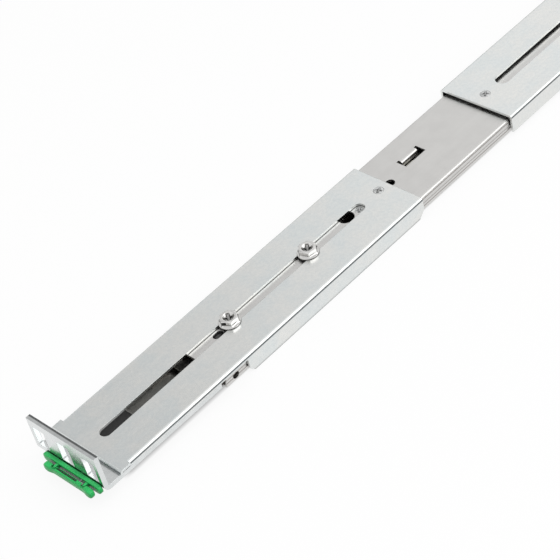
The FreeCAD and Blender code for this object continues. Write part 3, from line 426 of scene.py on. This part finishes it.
def zinc_plated_sheet(name, reach, unshaded_openness):
    """Zinc-plated mild steel sheet, punched and bent: a cool grey with soft clouds from the bath, painted shade
    with grease in its corners, and a painted dark reflection under each bend. The nut bars have the same
    plating, painted darker all over with shade and grease, as they always lie under the slide's web."""
    material, tree = new_material(name)
    cloud = clouds(tree, ZINC_CLOUD)
    speck = clouds(tree, *ZINC_SPECK)
    grain = lines_along(tree, *ZINC_GRAIN)
    soft = between(tree, spread(tree, cloud, 0.0, 1.0, *ZINC_CLOUD_RANGE), *ZINC_CLOUD_COLOURS)
    fine = between(tree, spread(tree, speck, 0.0, 1.0), *ZINC_SPECK_COLOURS)
    colour = between(tree, ZINC_SPECK_SHARE, soft, fine)
    # painted shade with grease in corners, then the painted dark reflection under each bend
    colour = painted_bend_reflection(tree, shade_and_grease_in_corners(tree, colour, reach, DARK_SHADE_AND_GREASE, unshaded_openness))
    return close_material(material, {"Base Color": colour, "Metallic": 1.0,
                                     "Roughness": spread(tree, grain, *ZINC_ROUGH),
                                     "Normal": relief(tree, speck, *ZINC_RELIEF)})


def plated_flange_plate():
    """Thick zinc-plated angle, smoother than the thin sheet. Its top edge is painted darker, faintly near the
    outer face and fully behind it, as painted shadow at the web's front edge, and its corners get painted shade.
    """
    material, tree = new_material("plated_flange_plate")
    cloud = clouds(tree, FLANGE_CLOUD)
    plated = between(tree, spread(tree, cloud, 0.0, 1.0), *FLANGE_COLOURS)
    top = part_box("flange_angle")[1].z
    start, full = (top - depth * MM for depth in EDGE_SHADOW_BELOW_TOP)
    # painted shadow along the top edge, faint near the outer face and full behind it
    edge = spread(tree, part_of_place(tree, "Z"), 0.0, 1.0, start, full)
    edge_shadow_share = spread(tree, part_of_place(tree, "X"), EDGE_SHADOW_FAINT, 1.0, EDGE_SHADOW_FROM * MM, (EDGE_SHADOW_FROM + EDGE_SHADOW_FADE) * MM)
    edge_shadow = add(tree, "ShaderNodeMath", {0: edge, 1: edge_shadow_share}, operation="MULTIPLY").outputs[0]
    colour = shade_and_grease_in_corners(tree, between(tree, edge_shadow, plated, EDGE_SHADOW_COLOUR), *FLANGE_CORNERS)
    return close_material(material, {"Base Color": colour, "Metallic": 1.0,
                                     "Roughness": spread(tree, cloud, *FLANGE_ROUGH),
                                     "Normal": relief(tree, cloud, *FLANGE_RELIEF)})


def rolled_slide_strip(name, first, second, reach):
    """Cold-rolled strip under a clear zinc coat: a warmer grey with faint lines from the rollers, painted shade
    with grease in its corners, and painted dark level lines for the shade of the stepped walls. The two inner
    members are painted darker, for the shade inside the outer member and a film of oil."""
    material, tree = new_material(name)
    grain = lines_along(tree, *STRIP_GRAIN)
    cloud = clouds(tree, STRIP_CLOUD)
    colour = between(tree, spread(tree, cloud, 0.0, 1.0), first, second)
    # painted shade with grease in corners, then painted shade lines on the walls
    colour = painted_profile_lines(tree, shade_and_grease_in_corners(tree, colour, reach, SHADE_AND_GREASE, STRIP_ROOM))
    return close_material(material, {"Base Color": colour, "Metallic": 1.0,
                                     "Roughness": spread(tree, grain, *STRIP_ROUGH),
                                     "Normal": relief(tree, grain, *STRIP_RELIEF)})


def green_moulded_plastic():
    """Injection-moulded acetal, dyed through: satin, with a fine spark-eroded texture, and painted shade in its
    corners and in the gap between the finger bar and the base.
    """
    material, tree = new_material("green_moulded_plastic")
    cloud = clouds(tree, GREEN_CLOUD)
    texture = clouds(tree, *GREEN_TEXTURE)
    colour = between(tree, spread(tree, cloud, 0.0, 1.0), *GREEN_COLOURS)
    # painted shade in corners and gaps
    colour = shade_and_grease_in_corners(tree, colour, *GREEN_CORNERS)
    return close_material(material, {"Base Color": colour, "Metallic": 0.0, "IOR": GREEN_IOR,
                                     "Roughness": spread(tree, texture, *GREEN_ROUGH),
                                     "Normal": relief(tree, texture, *GREEN_RELIEF)})


# ================================================================ meshes
def box_of(node):
    """Low and high corner of a node's box, in millimetres."""
    return [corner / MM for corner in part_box(node)]


def pin_axis():
    """Place along X and Z of the axis of the catch's pin."""
    low, high = box_of("catch_pin")
    return (low.x + high.x) / 2, (low.z + high.z) / 2


def skin(name, grids, material, body, node):
    """Object made of grids of points in millimetres. Four neighbours make a face, the last column
    meets the first, and each grid starts and ends at a pole, where its row is a single point."""
    points = np.concatenate([grid.reshape(-1, 3) for grid in grids]) * MM
    faces = []
    start = 0
    for grid in grids:
        rows, columns = grid.shape[:2]
        here = start + np.arange(rows * columns).reshape(rows, columns)
        there = np.roll(here, -1, axis=1)
        faces.append(np.stack([here[:-1], here[1:], there[1:], there[:-1]], axis=-1).reshape(-1, 4))
        start += rows * columns
    mesh = bpy.data.meshes.new(name)
    mesh.from_pydata(points.tolist(), [], np.concatenate(faces).tolist())
    work = bmesh.new()
    work.from_mesh(mesh)
    bmesh.ops.remove_doubles(work, verts=work.verts, dist=MM * WELD)
    bmesh.ops.recalc_face_normals(work, faces=work.faces)
    work.to_mesh(mesh)
    work.free()
    mesh.shade_smooth()
    mesh.set_sharp_from_angle(angle=math.radians(SHARP_ANGLE))
    mesh.materials.append(material)
    piece = bpy.data.objects.new(name, mesh)
    bpy.context.scene.collection.objects.link(piece)
    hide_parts(node)
    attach(piece, body)
    return piece


def around(count):
    """Row of angles that share out a full turn."""
    return np.linspace(0, FULL_TURN, count, endpoint=False)[None, :]


def turned(radii, heights, turns, centre):
    """Points at each radius and height, for each angle of a full turn about an upright axis."""
    x = centre[0] + radii * np.cos(turns)
    y = centre[1] + radii * np.sin(turns)
    return np.stack([x, y, heights + np.zeros_like(x)], axis=-1)


def ramp(value, start, end):
    """Smooth step from 0 at start to 1 at end."""
    share = np.clip((value - start) / (end - start), 0, 1)
    return share * share * (3 - 2 * share)


def cross_depth(x, y, reach, half, depth):
    """Depth of a punched cross: full within half of either arm's middle line, nothing past its reach."""
    soft = half * CROSS_SOFTNESS
    across = np.minimum(np.abs(x), np.abs(y))
    along = np.maximum(np.abs(x), np.abs(y))
    floor = depth * (1 - CROSS_RISE * np.clip(along / reach, 0, 1))
    return floor * (1 - ramp(across, half - soft, half + soft)) * (1 - ramp(along, reach - soft, reach))


def hex_radius(turns, hex_turn):
    """Radius of a hexagon: half its width across flats over the cosine of the angle from a flat."""
    sector = math.pi / 3
    off = np.mod(turns - hex_turn, sector) - sector / 2
    return HEX_ACROSS / 2 / np.cos(off)


def screw_grid(x, seat, top, foot, collar, hex_turn):
    """Hex washer screw: dished top with a cross in it, chamfered hexagon, tapered collar, threaded shank."""
    turns = around(SCREW_SIDES)
    centre = (x, 0)
    flat_top = HEX_ACROSS * HEX_TOP_SHARE
    dish = flat_top * DISH_SHARE
    out = np.linspace(0, 1, DISH_RINGS)[:, None] * flat_top + np.zeros_like(turns)
    turned_by = turns - hex_turn
    sunk = DISH_DEPTH * (1 - ramp(out, dish * DISH_FLOOR_SHARE, dish))
    sunk = sunk + cross_depth(out * np.cos(turned_by), out * np.sin(turned_by),
                              CROSS_REACH, CROSS_HALF, CROSS_DEPTH)
    parts = [turned(out, top - sunk, turns, centre)]

    hexagon = hex_radius(turns, hex_turn)
    shoulder = top - (hexagon - flat_top) * math.tan(HEX_CHAMFER)
    collar_top = seat + COLLAR_HEIGHT
    parts.append(turned(hexagon, shoulder, turns, centre))
    parts.append(turned(hexagon, collar_top + NECK_FILLET, turns, centre))
    parts.append(turned(hexagon + NECK_FILLET, collar_top, turns, centre))

    round_turn = np.linspace(0, math.pi / 2, RIM_RINGS)[:, None]
    rim_radii = collar - RIM_ROUND + RIM_ROUND * np.sin(round_turn)
    rim_heights = seat + COLLAR_EDGE - RIM_ROUND + RIM_ROUND * np.cos(round_turn)
    parts.append(turned(rim_radii, rim_heights, turns, centre))
    parts.append(turned(np.array([[collar]]), seat + RIM_UNDER, turns, centre))
    parts.append(turned(np.array([[collar - RIM_UNDER], [SHANK_RADIUS]]), seat + SEAT_GAP, turns, centre))

    heights = np.arange(seat - THREAD_BELOW_SEAT, foot + TIP_CHAMFER, -THREAD_STEP)[:, None]
    phase = np.mod(heights / THREAD_PITCH - turns / FULL_TURN, 1)
    groove = THREAD_DEPTH * np.abs(2 * phase - 1)
    parts.append(turned(SHANK_RADIUS - groove, heights, turns, centre))
    parts.append(turned(np.array([[SHANK_RADIUS - TIP_CHAMFER], [0.0]]), foot, turns, centre))
    return np.concatenate(parts)


def clamp_screws(node, material):
    """Both screws of a node, seated on the web that they clamp, which a button lies flush with."""
    low, high = box_of(node)
    collar = (high.y - low.y) / 2
    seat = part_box(SCREW_SEATS[node])[1].z / MM
    grids = [screw_grid(x, seat, high.z, low.z, collar, math.radians(turn))
             for x, turn in zip((low.x + collar, high.x - collar), SCREW_TURNS[node])]
    return skin(node + "_dressed", grids, material, "slide", node)


def marked_button(node, body, mark_turn, material):
    """Riveted button: a low dome with a cross punched in it."""
    low, high = box_of(node)
    radius = (high.x - low.x) / 2
    centre = ((low.x + high.x) / 2, (low.y + high.y) / 2)
    turns = around(BUTTON_SIDES)
    out = np.linspace(0, 1, BUTTON_RINGS)[:, None] * radius * BUTTON_TOP_SHARE + np.zeros_like(turns)
    dome = BUTTON_RISE * (1 - (out / radius) ** 2)
    mark = cross_depth(out * np.cos(turns - mark_turn), out * np.sin(turns - mark_turn),
                       radius * BUTTON_MARK_REACH, BUTTON_MARK_HALF, BUTTON_MARK_DEPTH)
    side = np.array([[radius], [radius], [0.0]])
    heights = np.array([[high.z - BUTTON_EDGE], [low.z], [low.z]])
    grid = np.concatenate([turned(out, high.z + dome - mark, turns, centre),
                           turned(side, heights, turns, centre)])
    return skin(node + "_dressed", [grid], material, body, node)


def coil_spring(material):
    """Torsion spring: wire carried along a helix about the catch's pin, with a leg to the base."""
    low, high = box_of("catch_spring")
    axis_x, axis_z = pin_axis()
    wire = SPRING_WIRE / 2
    radius = axis_x - low.x - wire
    turns = np.linspace(0, FULL_TURN * SPRING_TURNS + math.pi / 2, SPRING_STEPS * SPRING_TURNS)
    along = np.linspace(high.y - wire, low.y + wire, turns.size)
    coil = np.stack([axis_x + radius * np.sin(turns), along, axis_z + radius * np.cos(turns)], axis=-1)
    leg = np.stack([np.linspace(axis_x, high.x, LEG_STEPS), np.full(LEG_STEPS, high.y - wire),
                    np.full(LEG_STEPS, axis_z + radius)], axis=-1)
    line = np.concatenate([leg[:0:-1], coil])
    ahead = np.gradient(line, axis=0)
    ahead /= np.linalg.norm(ahead, axis=1, keepdims=True)
    side = np.cross(ahead, NEARLY_ALONG)
    side /= np.linalg.norm(side, axis=1, keepdims=True)
    up = np.cross(side, ahead)
    angles = around(WIRE_SIDES)[..., None]
    tube = line[:, None] + wire * (side[:, None] * np.cos(angles) + up[:, None] * np.sin(angles))
    ends = [np.repeat(point[None, None], WIRE_SIDES, axis=1) for point in (line[0], line[-1])]
    return skin("catch_spring_coil", [np.concatenate([ends[0], tube, ends[1]])], material,
                "front_bracket", "catch_spring")


def bar_grid(low, high, section, grid=SMALL_BAR_GRID):
    """Rounded bar between two corners, carried along Y: its section is a superellipse, which closes to
    a point over the length of its end."""
    low, high = np.array(low), np.array(high)
    middle, half = (low + high) / 2, (high - low) / 2
    exponent, end_length = section
    place = half[1] * np.sin(np.linspace(-1, 1, grid[0]) * math.pi / 2)
    past = np.clip((np.abs(place) - (half[1] - end_length)) / end_length, 0, 1)
    shrink = np.sqrt(1 - past ** END_POWER)[:, None]
    turns = around(grid[1])
    wide = np.sign(np.cos(turns)) * np.abs(np.cos(turns)) ** (2 / exponent)
    tall = np.sign(np.sin(turns)) * np.abs(np.sin(turns)) ** (2 / exponent)
    narrow = 1 - (1 - shrink) * END_NARROWING
    points = np.stack([middle[0] + half[0] * wide * narrow,
                       middle[1] + place[:, None] + 0 * turns,
                       middle[2] + half[2] * tall * shrink], axis=-1)
    points[0] = points[0].mean(axis=0)
    points[-1] = points[-1].mean(axis=0)
    return points


def lever_shape(points, axis, low, high):
    """Cuts the pin's trench, the pockets of the ears and the waist into the finger bar: each is a smooth
    patch of its surface moved inwards."""
    x, y, z = points[..., 0], points[..., 1], points[..., 2]
    centre = (low[0] + high[0]) / 2
    first, last = TRENCH
    trench = (ramp(y, first, first + TRENCH_RUNOUT) * (1 - ramp(y, last - TRENCH_RUNOUT, last))
              * (1 - ramp(np.abs(x - axis[0] + TRENCH_SHIFT), *TRENCH_HALF)) * (z > axis[1]))
    z = z - trench * TRENCH_DEPTH
    waist = 1 - ramp(np.abs(y - (low[1] + high[1]) / 2), *WAIST)
    x = x + WAIST_DEPTH * waist * (x < centre)
    z = z - WAIST_DEPTH * WAIST_TOP_SHARE * waist * (z > axis[1])
    back = x > centre
    for ear in EAR_ROWS:
        pocket = ((1 - ramp(np.abs(y - ear), *POCKET_HALF_WIDTH))
                  * (1 - ramp(np.abs(z - axis[1]), *POCKET_HALF_HEIGHT)) * back)
        x = x - pocket * np.clip(x - (axis[0] - POCKET_RADIUS), 0, None)
    return np.stack([x, y, z], axis=-1)


def catch(material):
    """Moulded catch: the base clipped to the flange with its ears and studs, and the finger bar."""
    axis = pin_axis()
    low, high = box_of("catch_lever")
    lever = lever_shape(bar_grid(low, high, LEVER_SECTION, BAR_GRID), axis, low, high)
    skin("catch_finger_bar", [lever], material, "catch_lever", "catch_lever")

    low, high = box_of("catch_base")
    front = -BASE_THICKNESS
    level = high.z - STUD_DROP
    grids = [bar_grid((front, low.y, low.z), (FLANGE_FACE, high.y, high.z), BASE_SECTION, BAR_GRID)]
    for ear in EAR_ROWS:
        grids.append(bar_grid((low.x, ear - EAR_HALF_WIDTH, axis[1] - EAR_HALF_HEIGHT),
                              (front + EAR_ROOT, ear + EAR_HALF_WIDTH, axis[1] + EAR_HALF_HEIGHT), EAR_SECTION))
    for stud in STUD_ROWS:
        grids.append(bar_grid((FLANGE_FACE - STUD_ROOT, stud - STUD_HALF, level - STUD_HALF),
                              (high.x, stud + STUD_HALF, level + STUD_HALF), STUD_SECTION))
    skin("catch_clip", grids, material, "front_bracket", "catch_base")


def ball_rows(node, body, material):
    """Both rows of a cage's balls, each a sphere of latitude rings."""
    low, high = box_of(node)
    radius = (high.z - low.z) / 2
    middle = (low.z + high.z) / 2
    tilts = np.linspace(0, math.pi, BALL_RINGS)[:, None]
    grids = [turned(radius * np.sin(tilts), middle + radius * np.cos(tilts), around(BALL_SIDES), (x, y))
             for x in np.linspace(low.x + radius, high.x - radius, BALLS_PER_ROW)
             for y in (low.y + radius, high.y - radius)]
    return skin(node + "_round", grids, material, body, node)


# ================================================================ studio
def paint(material, *names):
    """Gives a material to nodes of the frame."""
    for name in names:
        piece = NODES[name]
        if not piece.material_slots:
            piece.data.materials.append(material)
        for place in piece.material_slots:
            place.material = material


def seen_directly(tree):
    """1 for rays from the lens and rays off or through shiny surfaces, 0 for the rest."""
    path = add(tree, "ShaderNodeLightPath").outputs
    some = add(tree, "ShaderNodeMath", {0: path["Is Camera Ray"], 1: path["Is Glossy Ray"]}, operation="MAXIMUM")
    return add(tree, "ShaderNodeMath", {0: some.outputs[0], 1: path["Is Transmission Ray"]},
               operation="MAXIMUM").outputs[0]


def floor():
    """Plain white floor that the rail lies on, server side down. It keeps the soft shadow, has no glow of
    its own in the strip that the rail covers, which paints a shadow there, and is clear from below."""
    half = STUDIO_SIZE / 2 * MM
    level = CAD_BOX[0][2]
    mesh = bpy.data.meshes.new("studio_floor")
    mesh.from_pydata([(-half, -half, level), (half, -half, level), (half, half, level), (-half, half, level)],
                     [], [(0, 1, 2, 3)])
    material, tree = new_material("white_paper")
    inside = 1.0
    # painted shadow: the glow fades out in the strip under the rail
    for axis, start, end in zip("XY", *PAINTED_SHADOW_STRIP):
        away = add(tree, "ShaderNodeMath", {0: part_of_place(tree, axis), 1: (start + end) / 2 * MM},
                   operation="SUBTRACT")
        away = add(tree, "ShaderNodeMath", {0: away.outputs[0]}, operation="ABSOLUTE")
        reach = ((end - start) / 2 - PAINTED_SHADOW_STRIP_EDGE) * MM
        covered = spread(tree, away.outputs[0], 1.0, 0.0, reach, reach + PAINTED_SHADOW_STRIP_EDGE * MM)
        inside = add(tree, "ShaderNodeMath", {0: inside, 1: covered}, operation="MULTIPLY").outputs[0]
    glossy = add(tree, "ShaderNodeLightPath").outputs["Is Glossy Ray"]
    painted_shadow_depth = add(tree, "ShaderNodeMath", {0: glossy, 1: -PAINTED_SHADOW_STRIP_SHEEN, 2: 1.0}, operation="MULTIPLY_ADD")
    painted_shadow_depth = add(tree, "ShaderNodeMath", {0: inside, 1: painted_shadow_depth.outputs[0]}, operation="MULTIPLY")
    bare = add(tree, "ShaderNodeMath", {0: 1.0, 1: painted_shadow_depth.outputs[0]}, operation="SUBTRACT")
    strength = add(tree, "ShaderNodeMath", {0: seen_directly(tree), 1: bare.outputs[0]}, operation="MULTIPLY")
    matt = add(tree, "ShaderNodeBsdfDiffuse", {"Color": linear(PAPER)})
    glow = add(tree, "ShaderNodeEmission", {"Color": linear(WHITE), "Strength": strength.outputs[0]})
    paper = add(tree, "ShaderNodeMixShader", {0: FLOOR_GLOW, 1: matt.outputs[0], 2: glow.outputs[0]})
    under = add(tree, "ShaderNodeNewGeometry").outputs["Backfacing"]
    clear = add(tree, "ShaderNodeBsdfTransparent")
    paper = add(tree, "ShaderNodeMixShader", {0: under, 1: paper.outputs[0], 2: clear.outputs[0]})
    add(tree, "ShaderNodeOutputMaterial", {"Surface": paper.outputs[0]})
    mesh.materials.append(material)
    piece = bpy.data.objects.new("studio_floor", mesh)
    bpy.context.scene.collection.objects.link(piece)


def outward(heading, height):
    """Unit vector towards a heading and height in degrees."""
    turn, rise = math.radians(heading), math.radians(height)
    return Vector((math.cos(rise) * math.cos(turn), math.cos(rise) * math.sin(turn), math.sin(rise)))


def surround():
    """Studio walls: white to the lens, dimmer as a light. Shiny surfaces also see the dark band where
    the walls meet the floor, a grey curtain beyond the rail and a bright window where the key lamp stands."""
    world = bpy.data.worlds.new("studio_walls")
    bpy.context.scene.world = world
    world.use_nodes = True
    tree = world.node_tree
    tree.nodes.clear()
    path = add(tree, "ShaderNodeLightPath").outputs
    toward = add(tree, "ShaderNodeTexCoord").outputs["Generated"]
    rise = add(tree, "ShaderNodeSeparateXYZ", {0: toward}).outputs["Z"]
    shiny = spread(tree, rise, BAND_GREY, 1.0, *BAND_RISE)
    for direction, change, inner, outer in (CURTAIN, WINDOW):
        near = add(tree, "ShaderNodeVectorMath", {0: toward, 1: outward(*direction)}, operation="DOT_PRODUCT")
        patch = spread(tree, near.outputs["Value"], 0.0, change,
                       math.cos(math.radians(outer)), math.cos(math.radians(inner)))
        shiny = add(tree, "ShaderNodeMath", {0: shiny, 1: patch}, operation="ADD").outputs[0]
    lit = add(tree, "ShaderNodeMix", {0: path["Is Glossy Ray"], 2: ROOM_LIGHT, 3: shiny}).outputs[0]
    clear = add(tree, "ShaderNodeMath", {0: path["Is Camera Ray"], 1: path["Is Transmission Ray"]},
                operation="MAXIMUM").outputs[0]
    strength = add(tree, "ShaderNodeMix", {0: clear, 2: lit, 3: 1.0}).outputs[0]
    back = add(tree, "ShaderNodeBackground", {"Color": linear(WHITE), "Strength": strength})
    add(tree, "ShaderNodeOutputWorld", {"Surface": back.outputs["Background"]})


def soft_box(name, heading, height, distance, size, power):
    """Square lamp that faces the middle of the view from a heading and height in degrees. Shiny surfaces
    don't see it, because the walls already give them a window."""
    lamp = bpy.data.lights.new(name, "AREA")
    lamp.shape = "SQUARE"
    lamp.size = size * MM
    lamp.energy = power
    piece = bpy.data.objects.new(name, lamp)
    away = outward(heading, height)
    piece.location = Vector(CAMERA_AIM) * MM + away * distance * MM
    piece.rotation_euler = (-away).to_track_quat("-Z", "Y").to_euler()
    piece.visible_camera = False
    piece.visible_glossy = False
    bpy.context.scene.collection.objects.link(piece)


def camera():
    """Long lens that looks down along the rail from ahead of its front end."""
    ahead = outward(CAMERA_HEADING, -CAMERA_DIP)
    eye = bpy.data.cameras.new("studio_camera")
    eye.lens = CAMERA_LENS
    eye.sensor_width = CAMERA_SENSOR
    eye.clip_start = CAMERA_NEAR * MM
    piece = bpy.data.objects.new("studio_camera", eye)
    piece.location = Vector(CAMERA_AIM) * MM - ahead * CAMERA_DISTANCE * MM
    level = ahead.to_track_quat("-Z", "Y")
    piece.rotation_mode = "QUATERNION"
    piece.rotation_quaternion = Quaternion(ahead, -math.radians(CAMERA_ROLL)) @ level
    bpy.context.scene.collection.objects.link(piece)
    bpy.context.scene.camera = piece


def main():
    """Sets up the studio, gives each node its finish and builds the finer pieces."""
    camera()
    floor()
    surround()
    for name, lamp in LAMPS.items():
        soft_box(name, *lamp)
    bpy.context.scene.view_settings.view_transform = "Standard"

    plain = {name: plain_finish(name) for name in PLAIN_FINISHES}
    green = green_moulded_plastic()
    for name, (reach, unshaded_openness, *nodes) in ZINC_SHEETS.items():
        paint(zinc_plated_sheet(name, reach, unshaded_openness), *nodes)
    for name, (first, second, reach, *nodes) in SLIDE_STRIPS.items():
        paint(rolled_slide_strip(name, first, second, reach), *nodes)
    paint(plated_flange_plate(), "flange_angle")
    paint(green, "catch_base", "catch_lever")
    paint(plain["bright_rivet_steel"], *BUTTONS, "catch_pin", "chassis_lock_pivot")
    paint(plain["polished_nickel"], *SCREW_SEATS)
    paint(plain["cage_strip"], "outer_ball_cage", "inner_ball_cage")
    paint(plain["black_spring_leaf"], "chassis_lock_lever")
    paint(plain["black_moulded_nylon"], "slide_rear_bumper")
    paint(plain["drawn_spring_wire"], "catch_spring")
    paint(plain["bearing_ball_steel"], "outer_balls", "inner_balls")

    for node in SCREW_SEATS:
        clamp_screws(node, plain["polished_nickel"])
    for node, (body, mark_turn) in BUTTONS.items():
        marked_button(node, body, math.radians(mark_turn), plain["bright_rivet_steel"])
    coil_spring(plain["drawn_spring_wire"])
    catch(green)
    ball_rows("outer_balls", "outer_cage", plain["bearing_ball_steel"])
    ball_rows("inner_balls", "inner_cage", plain["bearing_ball_steel"])


main()
